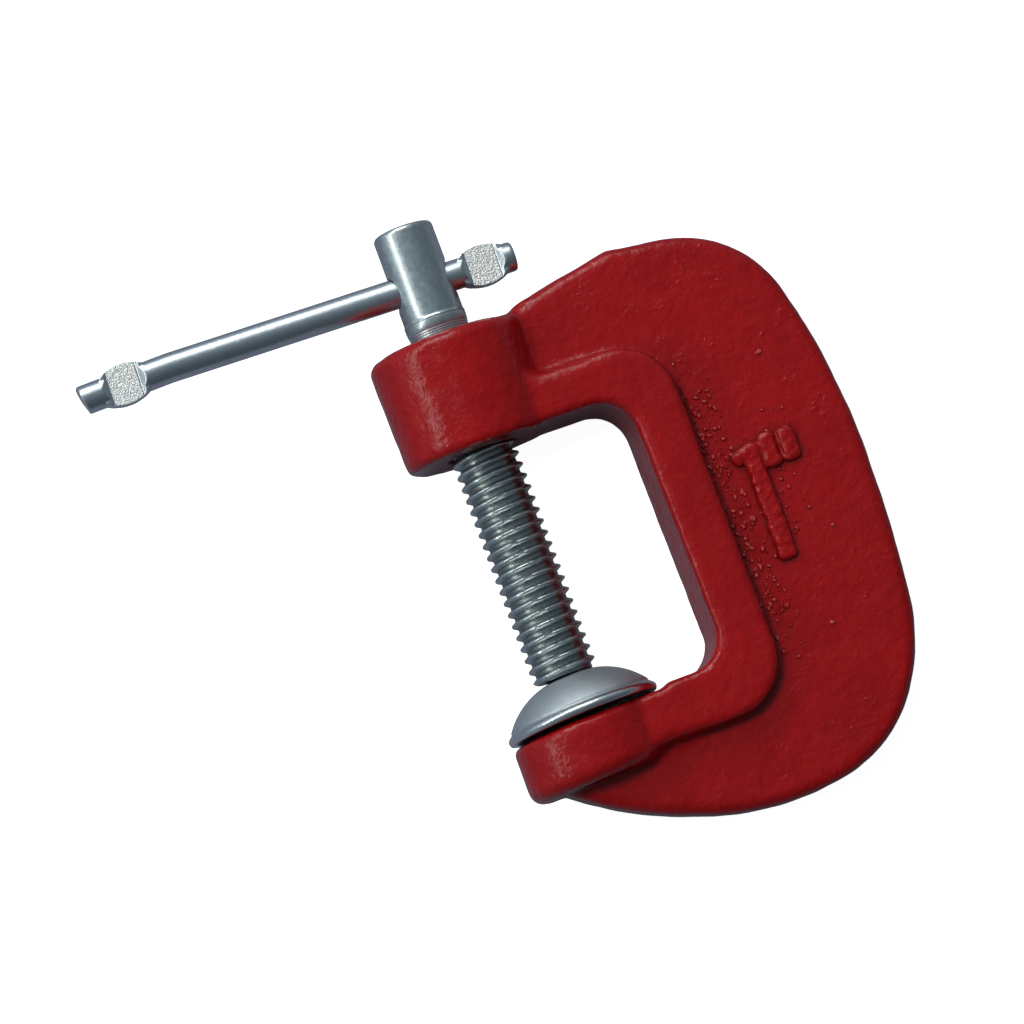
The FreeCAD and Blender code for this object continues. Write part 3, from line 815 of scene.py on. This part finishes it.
# The room: it brightens smoothly from the dark corner behind the eye towards the window.
WINDOW_SIDE = Vector((-0.46, 0.89, 0)).normalized()
ROOM_DARK, ROOM_LIGHT = 0.08, 0.6
ROOM_CURVE = 1.8
ROOM_TINT = (0.74, 0.93, 1.1, 1)
world = bpy.data.worlds.new("studio")
bpy.context.scene.world = world
world.use_nodes = True
tree = world.node_tree
direction = tree.nodes.new("ShaderNodeTexCoord").outputs["Generated"]
facing = tree.nodes.new("ShaderNodeVectorMath")
facing.operation = "DOT_PRODUCT"
tree.links.new(direction, facing.inputs[0])
facing.inputs[1].default_value = WINDOW_SIDE
rise = tree.nodes.new("ShaderNodeMapRange")
tree.links.new(facing.outputs["Value"], rise.inputs["Value"])
rise.inputs["From Min"].default_value = -1
rise.inputs["From Max"].default_value = 1
curve = tree.nodes.new("ShaderNodeMath")
curve.operation = "POWER"
tree.links.new(rise.outputs[0], curve.inputs[0])
curve.inputs[1].default_value = ROOM_CURVE
strength = tree.nodes.new("ShaderNodeMapRange")
tree.links.new(curve.outputs[0], strength.inputs["Value"])
strength.inputs["To Min"].default_value = ROOM_DARK
strength.inputs["To Max"].default_value = ROOM_LIGHT
room = tree.nodes["Background"]
room.inputs["Color"].default_value = ROOM_TINT
tree.links.new(strength.outputs[0], room.inputs["Strength"])
paper = tree.nodes.new("ShaderNodeBackground")
paper.inputs["Color"].default_value = WHITE
seen = tree.nodes.new("ShaderNodeMixShader")
room_rays = tree.nodes.new("ShaderNodeLightPath").outputs
tree.links.new(room_rays["Is Camera Ray"], seen.inputs[0])
tree.links.new(room.outputs[0], seen.inputs[1])
tree.links.new(paper.outputs[0], seen.inputs[2])
tree.links.new(seen.outputs[0], tree.nodes["World Output"].inputs["Surface"])

# Three lamps stand for one window. Each has a start and an end, as shares of the lamps' reach, a
# width in metres, its watts, and whether metal mirrors it.
CLAMP_MIDDLE = Vector((5, 20, 0)) * MM
LAMP_REACH = 0.85
WINDOW_TINT = (1.0, 0.98, 0.93)
LAMPS = {
    "window_strip": ((-0.85, -0.03, 0.52), (0.10, 0.90, 0.41), 0.09, 1.5, True),
    "window_pane": ((0.05, 0.96, 0.24), (-0.05, 0.64, 0.77), 0.5, 1.6, True),
    "window_sky": ((-0.27, 0.20, 0.94), (-0.08, 0.31, 0.95), 0.18, 3.85, False),
}


def soft_lamp(name, start, end, width, watts, mirrored):
    """A long soft lamp from start to end, aimed at the clamp."""
    middle = (start + end) / 2
    back = (middle - CLAMP_MIDDLE).normalized()
    line = (end - start).normalized()
    line = (line - back * line.dot(back)).normalized()
    bpy.ops.object.light_add(type="AREA", location=middle)
    lamp = bpy.context.active_object
    lamp.name = name
    lamp.data.shape = "RECTANGLE"
    lamp.data.size = width
    lamp.data.size_y = (end - start).length
    lamp.data.energy = watts
    lamp.data.color = WINDOW_TINT
    lamp.visible_glossy = mirrored
    lamp.rotation_euler = Matrix((line.cross(back), line, back)).transposed().to_euler()


for name, (start, end, width, watts, mirrored) in LAMPS.items():
    soft_lamp(
        name, Vector(start) * LAMP_REACH, Vector(end) * LAMP_REACH, width, watts, mirrored
    )

VIEW_TARGET = Vector((0.74, 25.35, 0)) * MM
VIEW_DISTANCE = 536 * MM
VIEW_TILT_X = math.radians(0.45)
VIEW_TILT_Y = math.radians(-6.02)
VIEW_ROLL = math.radians(-20.21)
VIEW_WIDTH = 118.75 * MM
SENSOR = 36.0

towards_eye = Vector((math.tan(VIEW_TILT_X), math.tan(VIEW_TILT_Y), 1)).normalized()
right = Vector((0, 1, 0)).cross(towards_eye).normalized()
upright = Matrix((right, towards_eye.cross(right), towards_eye)).transposed()
bpy.ops.object.camera_add(location=VIEW_TARGET + towards_eye * VIEW_DISTANCE)
camera = bpy.context.active_object
camera.name = "eye"
camera.data.sensor_width = SENSOR
camera.data.lens = SENSOR * VIEW_DISTANCE / VIEW_WIDTH
camera.rotation_euler = (upright @ Matrix.Rotation(VIEW_ROLL, 3, "Z")).to_euler()
bpy.context.scene.camera = camera
bpy.context.scene.view_settings.view_transform = "Standard"
